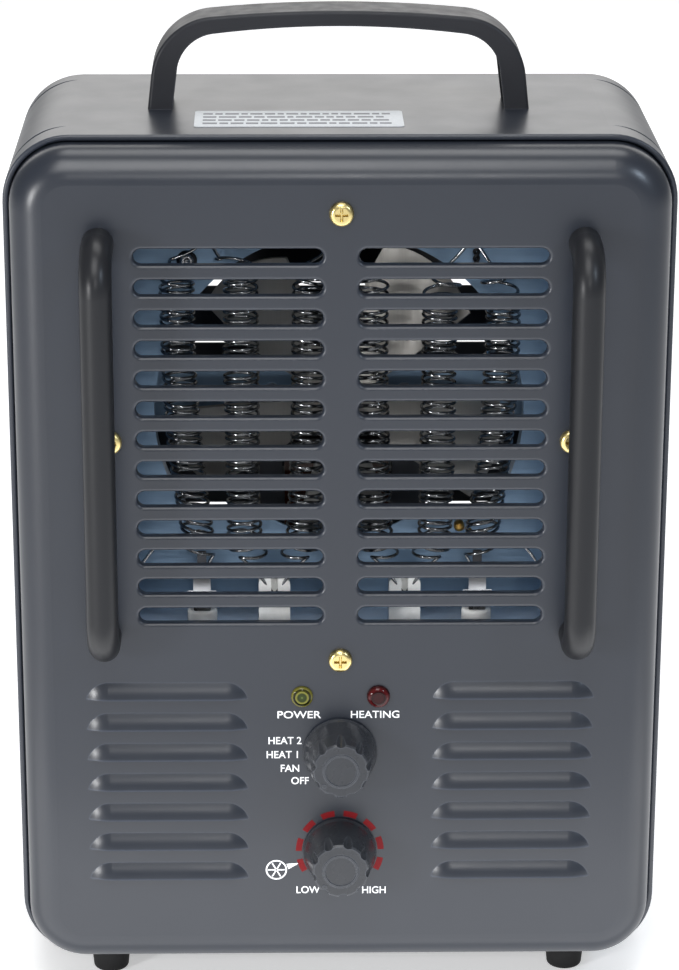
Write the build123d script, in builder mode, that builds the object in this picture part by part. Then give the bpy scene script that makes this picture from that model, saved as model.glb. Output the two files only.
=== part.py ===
from build123d import *
import math
import os

os.makedirs("parts", exist_ok=True)

# Free-standing utility fan heater. Millimetres, +Z up, floor at Z = 0, front towards -Y.
# "Depth" below is the distance behind the flat face of the front panel.

# ---- driving dimensions ----
case_w = 240.0
case_top = 330.0
foot_h = 12.0
case_corner_r = 24.0
sheet = 1.2
wrap_front = 15.5
wrap_len = 110.0
bar_stand_off = 22.0
bar_r = 5.75
gland_reach = 8.0
slot_rows = 13
slot_pitch = 11.2
slot_top_z = 289.6
louvre_rows = 7
louvre_pitch = 12.03
motor_axis_z = 222.4
selector_z = 101.2
thermostat_z = 61.2

# ---- derived dimensions ----
case_h = case_top - foot_h
case_mid_z = foot_h + case_h / 2
wrap_rear = wrap_front + wrap_len
front_reach = bar_stand_off + bar_r
rear_reach = wrap_rear + gland_reach
face_y = (front_reach - rear_reach) / 2

fit_gap = 0.4
hem_t = 1.0
hem_len = 8.0
running_gap = 0.05


def front_plane(depth):
    """A plane facing the viewer, at a depth behind the front panel's face."""
    return Plane.XZ.offset(-(face_y + depth))


def side_plane(x):
    """A plane across X with local axes (Y, Z)."""
    return Plane(origin=(x, face_y, 0), x_dir=(0, 1, 0), z_dir=(1, 0, 0))


def finish(part, name):
    """Labels a finished piece and writes it."""
    part.label = name
    export_step(part, f"parts/{name}.step")


# ---- case wrap: folded sheet round sides, top and bottom ----
bead_r = 27.0
bead_depth = 0.85
bead_half_w = 3.6
bead_rise = 1.9
bead_depths = (31.0, 115.0)
rear_recess = 3.0
rear_flange = 10.0
rear_screw_places = [(side * 114.0, z) for side in (-1, 1) for z in (60.0, 171.0, 282.0)]
rear_screw_hole_r = 1.9
handle_x = 64.8
handle_depth = 70.0
handle_screw_r = 2.2
foot_x = 88.0
foot_depths = (30.0, 108.0)
foot_screw_r = 2.2


def bead_cutter(side, depth):
    """Crescent groove round a top corner, deepest on the diagonal and fading out at both ends."""
    shift = (bead_r - case_corner_r + bead_depth) / math.sqrt(2)
    x = side * (case_w / 2 - case_corner_r - shift)
    z = case_top - case_corner_r - shift
    profile_plane = Plane(origin=(x, face_y + depth, z), x_dir=(side, 0, 0), z_dir=(0, 0, 1))
    with BuildPart() as cutter:
        with BuildSketch(profile_plane):
            Polygon(
                (bead_r, 0),
                (bead_r + bead_rise, bead_half_w),
                (bead_r + bead_rise, -bead_half_w),
                align=None,
            )
        revolve(axis=Axis((x, 0, z), (0, -side, 0)), revolution_arc=90)
    return cutter.part


with BuildPart() as case_wrap:
    with BuildSketch(front_plane(wrap_front)):
        with Locations((0, case_mid_z)):
            RectangleRounded(case_w, case_h, case_corner_r)
            RectangleRounded(
                case_w - 2 * sheet, case_h - 2 * sheet, case_corner_r - sheet, mode=Mode.SUBTRACT
            )
    extrude(amount=-wrap_len)
    hem_inset = sheet + hem_t
    with BuildSketch(front_plane(wrap_front)):
        with Locations((0, case_mid_z)):
            RectangleRounded(case_w - 2 * sheet, case_h - 2 * sheet, case_corner_r - sheet)
            RectangleRounded(
                case_w - 2 * hem_inset,
                case_h - 2 * hem_inset,
                case_corner_r - hem_inset,
                mode=Mode.SUBTRACT,
            )
    extrude(amount=-hem_len)
    fillet(case_wrap.faces().sort_by(Axis.Y)[0].edges(), radius=0.95)
    # inward flange that the rear panel is screwed to
    with BuildSketch(front_plane(wrap_rear - rear_recess)):
        with Locations((0, case_mid_z)):
            RectangleRounded(case_w - 2 * sheet, case_h - 2 * sheet, case_corner_r - sheet)
            RectangleRounded(
                case_w - 2 * rear_flange,
                case_h - 2 * rear_flange,
                case_corner_r - rear_flange,
                mode=Mode.SUBTRACT,
            )
    extrude(amount=sheet)
    with BuildSketch(front_plane(wrap_rear - rear_recess)):
        with Locations(*rear_screw_places):
            Circle(rear_screw_hole_r)
    extrude(amount=sheet, mode=Mode.SUBTRACT)
    for side in (-1, 1):
        for depth in bead_depths:
            add(bead_cutter(side, depth), mode=Mode.SUBTRACT)
    with BuildSketch(Plane.XY.offset(case_top)):
        for side in (-1, 1):
            for dy in (-6, 6):
                with Locations((side * handle_x, face_y + handle_depth + dy)):
                    Circle(handle_screw_r)
    extrude(amount=-sheet * 2, mode=Mode.SUBTRACT)
    with BuildSketch(Plane.XY.offset(foot_h)):
        for side in (-1, 1):
            for depth in foot_depths:
                with Locations((side * foot_x, face_y + depth)):
                    Circle(foot_screw_r)
    extrude(amount=sheet * 2, mode=Mode.SUBTRACT)
finish(case_wrap.part, "case_wrap")

# ---- front panel: pressed pan with slots, louvres and control holes ----
panel_t = 1.0
panel_depth = 24.0
panel_gap = 0.4
panel_w = case_w - 2 * (hem_inset + panel_gap)
panel_h = case_h - 2 * (hem_inset + panel_gap)
panel_corner_r = case_corner_r - hem_inset - panel_gap
panel_edge_r = 12.0
slot_inner_x = 6.4
slot_outer_x = 73.5
slot_len = slot_outer_x - slot_inner_x
slot_mid_x = (slot_outer_x + slot_inner_x) / 2
slot_h = 5.7
slot_rim = 1.4
slot_rim_depth = 2.4
louvre_top_z = 122.8
louvre_x = 63.9
louvre_len = 59.4
louvre_h = 6.3
louvre_lip_slope = math.radians(8)
louvre_top_slope = math.radians(33)
louvre_skin = 0.8
louvre_curve_r = louvre_h / (math.sin(louvre_top_slope) - math.sin(louvre_lip_slope))
louvre_sink = louvre_curve_r * math.cos(louvre_top_slope)
louvre_drop = louvre_curve_r * math.sin(louvre_lip_slope)
louvre_rise = louvre_curve_r * math.cos(louvre_lip_slope) - louvre_sink
louvre_end = math.sqrt((louvre_curve_r * math.sin(louvre_top_slope)) ** 2 - louvre_drop ** 2)
lens_x = 14.1
lens_z = 123.5
lens_hole_r = 3.4
bushing_r = 4.5
bushing_hole_r = 4.8
screw_top_z = 305.2
screw_low_z = 137.8
screw_mid_z = 221.6
screw_mid_x = 83.0
screw_hole_r = 1.9
bar_x = 85.8
bar_top_z = 294.6
bar_low_z = 147.9
stud_r = 2.5
stud_hole_r = 2.8
slot_centres = [
    (side * slot_mid_x, slot_top_z - row * slot_pitch) for side in (-1, 1) for row in range(slot_rows)
]
louvre_places = [
    (side * louvre_x, louvre_top_z - row * louvre_pitch) for side in (-1, 1) for row in range(louvre_rows)
]
panel_screw_places = [
    (0, screw_top_z),
    (0, screw_low_z),
    (-screw_mid_x, screw_mid_z),
    (screw_mid_x, screw_mid_z),
]
bar_ends = [(side * bar_x, z) for side in (-1, 1) for z in (bar_top_z, bar_low_z)]


def louvre_body(inset, depth):
    """Upper slice of a large capsule sunk into the panel, open along its straight lower edge."""
    radius = louvre_curve_r - inset
    straight = louvre_len - 2 * louvre_end
    with BuildPart() as hood:
        with Locations((0, louvre_sink, -louvre_drop)):
            Cylinder(radius, straight, rotation=(0, 90, 0))
        with Locations(*[(side * straight / 2, louvre_sink, -louvre_drop) for side in (-1, 1)]):
            Sphere(radius)
        with Locations((0, (depth - louvre_rise - 1) / 2, radius / 2)):
            Box(louvre_len + 10, depth + louvre_rise + 1, radius, mode=Mode.INTERSECT)
    return hood.part


louvre_outer = louvre_body(0, panel_t)
louvre_inner = louvre_body(louvre_skin, panel_t + 1)

with BuildPart() as front_panel:
    with BuildSketch(front_plane(0)):
        with Locations((0, case_mid_z)):
            RectangleRounded(panel_w, panel_h, panel_corner_r)
    extrude(amount=-panel_depth)
    fillet(front_panel.faces().sort_by(Axis.Y)[0].edges(), radius=panel_edge_r)
    offset(amount=-panel_t, openings=front_panel.faces().sort_by(Axis.Y)[-1])
    # inward rolled rims round the slots
    with BuildSketch(front_plane(panel_t / 2)):
        with Locations(*slot_centres):
            SlotOverall(slot_len + 2 * slot_rim, slot_h + 2 * slot_rim)
    extrude(amount=-(slot_rim_depth + panel_t / 2))
    with BuildSketch(front_plane(0)):
        with Locations(*slot_centres):
            SlotOverall(slot_len, slot_h)
    extrude(amount=-(slot_rim_depth + panel_t * 2), mode=Mode.SUBTRACT)
    flat_front = front_panel.faces().sort_by(Axis.Y)[0]
    fillet([edge for wire in flat_front.inner_wires() for edge in wire.edges()], radius=slot_rim)
    # louvres
    for x, z in louvre_places:
        add(louvre_outer.moved(Location((x, face_y, z))))
    for x, z in louvre_places:
        add(louvre_inner.moved(Location((x, face_y, z - 0.01))), mode=Mode.SUBTRACT)
    # holes
    with BuildSketch(front_plane(-1)):
        with Locations((-lens_x, lens_z), (lens_x, lens_z)):
            Circle(lens_hole_r)
        with Locations((0, selector_z), (0, thermostat_z)):
            Circle(bushing_hole_r)
        with Locations(*panel_screw_places):
            Circle(screw_hole_r)
        with Locations(*bar_ends):
            Circle(stud_hole_r)
    extrude(amount=-3, mode=Mode.SUBTRACT)
finish(front_panel.part, "front_panel")


# ---- guard bars: bent rod with threaded ends through the panel ----
bar_bend_r = 13.0
stud_len = 9.0


def guard_bar(side):
    """Staple-shaped rod in front of one side of the grille."""
    with BuildPart() as bar:
        with BuildLine(side_plane(side * bar_x)) as path:
            FilletPolyline(
                (0, bar_top_z),
                (-bar_stand_off, bar_top_z),
                (-bar_stand_off, bar_low_z),
                (0, bar_low_z),
                radius=bar_bend_r,
            )
        with BuildSketch(Plane(origin=path.line @ 0, z_dir=path.line % 0)):
            Circle(bar_r)
        sweep(path=path.line)
        with BuildSketch(front_plane(0)):
            with Locations((side * bar_x, bar_top_z), (side * bar_x, bar_low_z)):
                Circle(stud_r)
        extrude(amount=-stud_len)
    return bar.part


finish(guard_bar(-1), "left_guard_bar")
finish(guard_bar(1), "right_guard_bar")

with BuildPart() as guard_bar_nuts:
    with BuildSketch(front_plane(panel_t)):
        with Locations(*bar_ends):
            RegularPolygon(radius=4.5, side_count=6)
            Circle(stud_r, mode=Mode.SUBTRACT)
    extrude(amount=-4)
finish(guard_bar_nuts.part, "guard_bar_nuts")

# ---- panel screws: pan heads with a cross recess, each into a spring nut ----
screw_head_r = 4.4
screw_head_h = 2.5


def cross_screw(shank_r, shank_len, head_r, head_h):
    """Pan-head screw pointing along +Y with its seat at the origin."""
    with BuildPart() as screw:
        with BuildSketch(Plane.XZ):
            Circle(head_r)
        extrude(amount=head_h)
        fillet(screw.faces().sort_by(Axis.Y)[0].edges(), radius=head_h * 0.75)
        with BuildSketch(Plane.XZ):
            Circle(shank_r)
        extrude(amount=-shank_len)
        with BuildSketch(Plane.XZ.offset(head_h)):
            Rectangle(head_r * 1.05, head_r * 0.24)
            Rectangle(head_r * 0.24, head_r * 1.05)
        extrude(amount=-head_h * 0.6, taper=12, mode=Mode.SUBTRACT)
    return screw.part


panel_screw = cross_screw(1.7, 8.0, screw_head_r, screw_head_h)
with BuildPart() as panel_screws:
    for x, z in panel_screw_places:
        add(panel_screw.moved(Location((x, face_y, z))))
finish(panel_screws.part, "panel_screws")

# ---- rear panel: flat plate with a ladder of narrow air slots in two columns ----
rear_gap = 0.5
rear_w = case_w - 2 * (sheet + rear_gap)
rear_h = case_h - 2 * (sheet + rear_gap)
rear_slot_pitch = 22.9
rear_slot_mid_z = 180.3
rear_slot_rows = 9
rear_slot_len = 64.0
rear_slot_h = 3.0
rear_slot_x = 36.0
rear_t = 1.2
gland_x = 78.0
gland_z = 48.0
gland_hole_r = 6.5

with BuildPart() as rear_panel:
    with BuildSketch(front_plane(wrap_rear - rear_recess)):
        with Locations((0, case_mid_z)):
            RectangleRounded(rear_w, rear_h, case_corner_r - sheet - rear_gap)
    extrude(amount=-rear_t)
    with BuildSketch(front_plane(wrap_rear - rear_recess)):
        with Locations((0, rear_slot_mid_z)):
            with GridLocations(2 * rear_slot_x, rear_slot_pitch, 2, rear_slot_rows):
                SlotOverall(rear_slot_len, rear_slot_h)
        with Locations(*rear_screw_places):
            Circle(screw_hole_r)
        with Locations((gland_x, gland_z)):
            Circle(gland_hole_r)
    extrude(amount=-rear_t, mode=Mode.SUBTRACT)
    edge_face = rear_panel.faces().sort_by(Axis.Y)[-1]
    fillet([edge for wire in edge_face.inner_wires() for edge in wire.edges()], radius=0.5)
finish(rear_panel.part, "rear_panel")

rear_screw = cross_screw(1.6, 7.0, 3.6, 1.7).rotate(Axis.Z, 180)
with BuildPart() as rear_screws:
    for x, z in rear_screw_places:
        add(rear_screw.moved(Location((x, face_y + wrap_rear - rear_recess + rear_t, z))))
finish(rear_screws.part, "rear_screws")

gland_bore_r = 3.75
with BuildPart() as cord_gland:
    gland_face = wrap_rear - rear_recess + rear_t
    with BuildSketch(front_plane(gland_face)):
        with Locations((gland_x, gland_z)):
            Circle(9.0)
    extrude(amount=-(rear_reach - gland_face))
    chamfer(cord_gland.faces().sort_by(Axis.Y)[-1].edges(), length=1.6)
    with BuildSketch(front_plane(gland_face)):
        with Locations((gland_x, gland_z)):
            Circle(gland_hole_r - 0.1)
    extrude(amount=rear_t)
    with BuildSketch(front_plane(gland_face - rear_t)):
        with Locations((gland_x, gland_z)):
            Circle(8.2)
    extrude(amount=2.5)
    with BuildSketch(front_plane(rear_reach)):
        with Locations((gland_x, gland_z)):
            Circle(gland_bore_r)
    extrude(amount=20, mode=Mode.SUBTRACT)
# the inner flange stands clear inside the rear flange of the case
finish(cord_gland.part, "cord_gland")

# ---- carry handle: arched hollow channel, thick in the legs and thin along the crown ----
handle_outer_foot = 69.5
handle_outer_top = 66.0
handle_rise = 35.8
handle_crown = 4.4
handle_leg_t = 8.8
handle_top_t = 5.4
handle_d = 22.0
handle_corner = 24.0
handle_wall = 2.6
handle_edge_r = 1.3


def arch_band(leg_inset, top_inset, foot_extra):
    """Closed outline of the handle's outer arch, moved in at the legs and at the top."""
    foot = handle_outer_foot - leg_inset
    shoulder = handle_outer_top - leg_inset
    top = case_top + handle_rise - top_inset
    side_top = top - handle_crown
    base = case_top - foot_extra
    with BuildSketch() as band:
        with BuildLine():
            Polyline((-foot, base), (-shoulder, side_top))
            ThreePointArc((-shoulder, side_top), (0, top), (shoulder, side_top))
            Polyline((shoulder, side_top), (foot, base))
            Line((foot, base), (-foot, base))
        make_face()
        corners = band.vertices().group_by(Axis.Y)[-1]
        fillet(corners, radius=handle_corner - leg_inset)
    return band.sketch


handle_plane = front_plane(handle_depth)
with BuildPart() as carry_handle:
    with BuildSketch(handle_plane):
        add(arch_band(0, 0, 0))
    extrude(amount=handle_d / 2, both=True)
    outline = [
        edge
        for face in (carry_handle.faces().sort_by(Axis.Y)[0], carry_handle.faces().sort_by(Axis.Y)[-1])
        for edge in face.edges()
        if edge.center().Z > case_top + 1
    ]
    fillet(outline, radius=handle_edge_r)
    with BuildSketch(handle_plane):
        add(arch_band(handle_leg_t, handle_top_t, 1))
    extrude(amount=handle_d, both=True, mode=Mode.SUBTRACT)
    with BuildSketch(handle_plane):
        add(arch_band(handle_wall, handle_wall, 1))
    extrude(amount=handle_d / 2 - handle_wall, both=True, mode=Mode.SUBTRACT)
    # screw bosses inside each leg
    with BuildSketch(Plane.XY.offset(case_top)):
        for side in (-1, 1):
            for dy in (-6, 6):
                with Locations((side * handle_x, face_y + handle_depth + dy)):
                    Circle(3.4)
    extrude(amount=9)
    with BuildSketch(Plane.XY.offset(case_top)):
        for side in (-1, 1):
            for dy in (-6, 6):
                with Locations((side * handle_x, face_y + handle_depth + dy)):
                    Circle(1.5)
    extrude(amount=8, mode=Mode.SUBTRACT)
finish(carry_handle.part, "carry_handle")

handle_screw = cross_screw(1.5, 9.0, 3.5, 1.8).rotate(Axis.X, 90)
with BuildPart() as handle_screws:
    for side in (-1, 1):
        for dy in (-6, 6):
            place = (side * handle_x, face_y + handle_depth + dy, case_top - sheet)
            add(handle_screw.moved(Location(place)))
finish(handle_screws.part, "handle_screws")

# ---- rating plate, blank, stuck on the top ----
with BuildPart() as rating_plate:
    with BuildSketch(Plane.XY.offset(case_top)):
        with Locations((-14.6, face_y + 42.0)):
            RectangleRounded(75.0, 27.0, 1.5)
    extrude(amount=0.25)
finish(rating_plate.part, "rating_plate")


# ---- rubber feet and their screws ----
def rubber_foot(x, depth):
    """Tapered foot with a counterbore for its screw."""
    with BuildPart() as foot:
        with BuildSketch(Plane.XY):
            with Locations((x, face_y + depth)):
                Circle(6.6)
        with BuildSketch(Plane.XY.offset(foot_h)):
            with Locations((x, face_y + depth)):
                Circle(7.8)
        loft()
        fillet(foot.faces().sort_by(Axis.Z)[0].edges(), radius=1.6)
        with BuildSketch(Plane.XY):
            with Locations((x, face_y + depth)):
                Circle(4.0)
        extrude(amount=6.0, mode=Mode.SUBTRACT)
        with BuildSketch(Plane.XY):
            with Locations((x, face_y + depth)):
                Circle(1.9)
        extrude(amount=foot_h, mode=Mode.SUBTRACT)
    return foot.part


foot_places = {
    "front_left_foot": (-foot_x, foot_depths[0]),
    "front_right_foot": (foot_x, foot_depths[0]),
    "rear_left_foot": (-foot_x, foot_depths[1]),
    "rear_right_foot": (foot_x, foot_depths[1]),
}
for foot_name, (x, depth) in foot_places.items():
    finish(rubber_foot(x, depth), foot_name)

foot_screw = cross_screw(1.8, 11.0, 3.4, 1.8).rotate(Axis.X, 90)
with BuildPart() as foot_screws:
    for x, depth in foot_places.values():
        add(foot_screw.moved(Location((x, face_y + depth, 6.0))))
finish(foot_screws.part, "foot_screws")


# ---- indicator lenses, lamps and clips ----
def lens(x, head_r, dome, groove_r):
    """Domed lens with a stem through the panel, and a groove round its middle if groove_r is above 0."""
    with BuildPart() as piece:
        with BuildSketch(front_plane(0)):
            with Locations((x, lens_z)):
                Circle(head_r)
        extrude(amount=dome)
        fillet(piece.faces().sort_by(Axis.Y)[0].edges(), radius=dome * 0.9)
        if groove_r > 0:
            with BuildSketch(front_plane(-dome)):
                with Locations((x, lens_z)):
                    Circle(groove_r)
                    Circle(groove_r - 0.55, mode=Mode.SUBTRACT)
            extrude(amount=-0.7, mode=Mode.SUBTRACT)
        with BuildSketch(front_plane(0)):
            with Locations((x, lens_z)):
                Circle(lens_hole_r - 0.1)
        extrude(amount=-9)
        with BuildSketch(front_plane(9)):
            with Locations((x, lens_z)):
                Circle(lens_hole_r - 0.7)
        extrude(amount=8, mode=Mode.SUBTRACT)
    return piece.part


finish(lens(-lens_x, 4.1, 1.6, 3.0), "power_lens")
finish(lens(lens_x, 4.3, 2.6, 0), "caution_lens")


def neon_lamp(x):
    """Small glass bulb inside the stem of a lens."""
    with BuildPart() as lamp:
        with BuildSketch(front_plane(2.5)):
            with Locations((x, lens_z)):
                Circle(2.2)
        extrude(amount=-11)
        fillet(lamp.faces().sort_by(Axis.Y)[0].edges(), radius=1.8)
    return lamp.part


finish(neon_lamp(-lens_x), "power_lamp")
finish(neon_lamp(lens_x), "caution_lamp")

with BuildPart() as lens_clips:
    with BuildSketch(front_plane(panel_t)):
        with Locations((-lens_x, lens_z), (lens_x, lens_z)):
            Circle(6.0)
            Circle(lens_hole_r - 0.1, mode=Mode.SUBTRACT)
    extrude(amount=-1.2)
finish(lens_clips.part, "lens_clips")

# ---- control knobs, shafts, switch bodies and nuts ----
knob_skirt_r = 13.7
knob_front_r = 10.5
knob_front = 19.2
knob_back = 0.9
flute_count = 9
shaft_r = 3.0
knob_recess_r = 8.6
knob_recess_d = 4.2


def knob(z, first_flute, pointer_angle):
    """Fluted, tapered knob. Angles run from +X towards +Z."""
    face = face_y - knob_front
    back = face_y - knob_back
    axis = Axis((0, 0, z), (0, 1, 0))
    with BuildPart() as body:
        with BuildSketch(Plane(origin=(0, 0, z), x_dir=(1, 0, 0), z_dir=(0, 0, 1))):
            with BuildLine():
                Polyline(
                    (0, face + 0.5),
                    (5.6, face + 0.5),
                    (5.8, face),
                    (6.5, face),
                    (6.7, face + 0.35),
                    (knob_front_r - 0.6, face + 0.35),
                    (knob_front_r, face + 1.0),
                    (knob_skirt_r - 0.5, back - 1.6),
                    (knob_skirt_r, back - 0.7),
                    (knob_skirt_r, back),
                    (0, back),
                    (0, face + 0.5),
                )
            make_face()
        revolve(axis=axis)
        for index in range(flute_count):
            turn = math.radians(first_flute + index * 360 / flute_count)
            radial = Vector(math.cos(turn), 0, math.sin(turn))
            start = radial * (knob_front_r + 0.9) + Vector(0, face - 1, z)
            end = radial * (knob_skirt_r + 3.0) + Vector(0, back - 2.6, z)
            with BuildSketch(Plane(origin=start, z_dir=end - start)):
                Circle(2.4)
            extrude(amount=(end - start).length, mode=Mode.SUBTRACT)
        pointer = math.radians(pointer_angle)
        with BuildSketch(front_plane(-knob_front + 0.35)):
            with Locations((8.5 * math.cos(pointer), z + 8.5 * math.sin(pointer))):
                Circle(0.75)
        extrude(amount=0.3)
        with BuildSketch(front_plane(-knob_back)):
            with Locations((0, z)):
                Circle(knob_recess_r)
        extrude(amount=knob_recess_d, mode=Mode.SUBTRACT)
        with BuildSketch(front_plane(-knob_back)):
            with Locations((0, z)):
                Circle(shaft_r)
        extrude(amount=13.0, mode=Mode.SUBTRACT)
    return body.part


def control_shaft(z, length):
    """Round control shaft from inside the knob to inside the switch body."""
    with BuildPart() as shaft:
        with BuildSketch(front_plane(-knob_back - 13.0)):
            with Locations((0, z)):
                Circle(shaft_r)
        extrude(amount=-length)
        chamfer(shaft.faces().sort_by(Axis.Y)[0].edges(), length=0.4)
    return shaft.part


def control_body(z, width, height, thickness):
    """Switch or thermostat body with a threaded bushing through the panel."""
    with BuildPart() as body:
        with BuildSketch(front_plane(panel_t)):
            with Locations((0, z)):
                RectangleRounded(width, height, 2)
        extrude(amount=-thickness)
        with BuildSketch(front_plane(panel_t)):
            with Locations((0, z)):
                Circle(bushing_r)
        extrude(amount=4.6)
        with BuildSketch(front_plane(-6)):
            with Locations((0, z)):
                Circle(shaft_r + running_gap)
        extrude(amount=-20, mode=Mode.SUBTRACT)
        with BuildSketch(front_plane(panel_t + thickness)):
            with GridLocations(width * 0.55, height * 0.5, 2, 2):
                with Locations((0, z)):
                    Rectangle(0.8, 6.3)
        extrude(amount=-7)
    return body.part


def bushing_nut(z):
    """Hex nut that clamps a bushing to the panel, hidden by the knob's skirt."""
    with BuildPart() as nut:
        with BuildSketch(front_plane(0)):
            with Locations((0, z)):
                RegularPolygon(radius=7.6, side_count=6)
                Circle(bushing_r, mode=Mode.SUBTRACT)
        extrude(amount=2.4)
    return nut.part


finish(knob(selector_z, 90, 223), "selector_knob")
finish(control_shaft(selector_z, 25.0), "selector_shaft")
finish(control_body(selector_z, 34, 30, 18), "selector_switch")
finish(bushing_nut(selector_z), "selector_nut")
finish(knob(thermostat_z, 75, 226), "thermostat_knob")
finish(control_shaft(thermostat_z, 25.0), "thermostat_shaft")
finish(control_body(thermostat_z, 26, 28, 16), "thermostat_body")
finish(bushing_nut(thermostat_z), "thermostat_nut")

with BuildPart() as bimetal_blade:
    with BuildSketch(front_plane(panel_t + 9)):
        with Locations((28, thermostat_z)):
            Rectangle(30, 7)
        with Locations((42, thermostat_z)):
            Circle(5)
    extrude(amount=0.6)
finish(bimetal_blade.part, "bimetal_blade")

# ---- heat duct behind the grille ----
duct_x = 78.0
duct_top_z = 300.0
duct_floor_z = 146.0
duct_front = 4.4
duct_rear = 34.0
duct_t = 0.8
shroud_w = 194.0
shroud_low_z = 138.0
shroud_top_z = 309.0
fan_opening_r = 68.0
fan_shelf_z = 184.0
fan_dip_r = 48.0


def duct_side(side):
    """Side plate of the duct with a foot against the shroud."""
    with BuildPart() as plate:
        with BuildSketch(Plane.XY.offset(duct_floor_z)):
            with Locations((side * (duct_x + duct_t / 2), face_y + (duct_front + duct_rear) / 2)):
                Rectangle(duct_t, duct_rear - duct_front)
            with Locations((side * (duct_x + 4.5), face_y + duct_rear - duct_t / 2)):
                Rectangle(9, duct_t)
        extrude(amount=duct_top_z - duct_floor_z)
    return plate.part


finish(duct_side(-1), "duct_left_side")
finish(duct_side(1), "duct_right_side")

with BuildPart() as duct_top:
    with BuildSketch(Plane.XY.offset(duct_top_z)):
        with Locations((0, face_y + (duct_front + duct_rear) / 2)):
            Rectangle(2 * (duct_x + duct_t), duct_rear - duct_front)
    extrude(amount=duct_t)
    with BuildSketch(front_plane(duct_rear)):
        with Locations((0, duct_top_z + 4)):
            Rectangle(2 * duct_x, 8)
    extrude(amount=duct_t)
finish(duct_top.part, "duct_top")

hook_x = 24.1
with BuildPart() as duct_floor:
    with BuildSketch(Plane.XY.offset(duct_floor_z)):
        with Locations((0, face_y + (duct_front + duct_rear) / 2)):
            Rectangle(2 * (duct_x + duct_t), duct_rear - duct_front)
        with Locations((-hook_x, face_y + 20), (hook_x, face_y + 20)):
            Rectangle(12.2, 7.2, mode=Mode.SUBTRACT)
        with Locations((0, face_y + 12)):
            Rectangle(30, 9, mode=Mode.SUBTRACT)
    extrude(amount=-duct_t)
    with BuildSketch(front_plane(duct_rear)):
        with Locations((0, duct_floor_z - 4)):
            Rectangle(2 * duct_x, 8)
    extrude(amount=duct_t)
finish(duct_floor.part, "duct_floor")

with BuildPart() as fan_shroud:
    with BuildSketch(front_plane(duct_rear)):
        with Locations((0, (shroud_low_z + shroud_top_z) / 2)):
            RectangleRounded(shroud_w, shroud_top_z - shroud_low_z, 4)
    extrude(amount=-duct_t)
    # opening: round above a level shelf, with a shallower round dip below it
    with BuildSketch(front_plane(duct_rear)):
        with Locations((0, motor_axis_z)):
            Circle(fan_opening_r)
        with Locations((0, fan_shelf_z - fan_opening_r)):
            Rectangle(2 * fan_opening_r, 2 * fan_opening_r, mode=Mode.SUBTRACT)
        with Locations((0, motor_axis_z)):
            Circle(fan_dip_r)
    extrude(amount=-duct_t, mode=Mode.SUBTRACT)
    # collar round the blades
    with BuildSketch(front_plane(duct_rear)):
        with Locations((0, motor_axis_z)):
            Circle(fan_opening_r + duct_t)
            Circle(fan_opening_r, mode=Mode.SUBTRACT)
    extrude(amount=-9)
finish(fan_shroud.part, "fan_shroud")

# ---- heating element: coils on ceramic hooks ----
coil_depth = 18.0
coil_r = 6.65
coil_bore = 5.4
coil_low_z = 180.0
coil_top_z = 275.0
coil_tops = (-58.7, -35.8, -11.0, 11.0, 35.8, 58.7)
coil_bottoms = (-52.0, -35.0, -13.4, 13.4, 35.0, 52.0)
terminal_x = 50.8
terminal_z = 162.0
with BuildPart() as heating_coils:
    for top_x, bottom_x in zip(coil_tops, coil_bottoms):
        low = Vector(bottom_x, face_y + coil_depth, coil_low_z)
        high = Vector(top_x, face_y + coil_depth, coil_top_z)
        with BuildSketch(Plane(origin=low, z_dir=high - low)):
            Circle(coil_r)
            Circle(coil_bore, mode=Mode.SUBTRACT)
        extrude(amount=(high - low).length)
finish(heating_coils.part, "heating_coils")

with BuildPart() as bottom_hook_insulators:
    with BuildSketch(front_plane(coil_depth - 1.5)):
        for side in (-1, 1):
            with Locations((side * hook_x, 154.5)):
                RectangleRounded(11.6, 19, 2.5)
    extrude(amount=-7)
    with BuildSketch(front_plane(coil_depth - 1.5)):
        for side in (-1, 1):
            with Locations((side * hook_x, 161)):
                Rectangle(2.4, 8)
    extrude(amount=-4, mode=Mode.SUBTRACT)
finish(bottom_hook_insulators.part, "bottom_hook_insulators")

top_hook_x = (-47.5, 0.0, 47.5)
with BuildPart() as top_hook_insulators:
    with BuildSketch(front_plane(coil_depth + 1)):
        for x in top_hook_x:
            with Locations((x, 294.2)):
                RectangleRounded(10, 11.4, 2.2)
    extrude(amount=-5)
finish(top_hook_insulators.part, "top_hook_insulators")

with BuildPart() as terminal_bushings:
    with BuildSketch(Plane.XY.offset(duct_floor_z)):
        for side in (-1, 1):
            with Locations((side * terminal_x, face_y + coil_depth)):
                Circle(5.5)
    extrude(amount=6)
    fillet(terminal_bushings.faces().group_by(Axis.Z)[-1].edges(), radius=1.2)
    with BuildSketch(Plane.XY.offset(duct_floor_z)):
        for side in (-1, 1):
            with Locations((side * terminal_x, face_y + coil_depth)):
                Circle(1.6)
    extrude(amount=8, mode=Mode.SUBTRACT)
finish(terminal_bushings.part, "terminal_bushings")

with BuildPart() as terminal_posts:
    with BuildSketch(Plane.XY.offset(duct_floor_z)):
        for side in (-1, 1):
            with Locations((side * terminal_x, face_y + coil_depth)):
                Circle(1.6)
    extrude(amount=terminal_z - duct_floor_z)
    with BuildSketch(Plane.XY.offset(duct_floor_z + 6)):
        for side in (-1, 1):
            with Locations((side * terminal_x, face_y + coil_depth)):
                RegularPolygon(radius=3.2, side_count=6)
    extrude(amount=2.2)
finish(terminal_posts.part, "terminal_posts")

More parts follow.
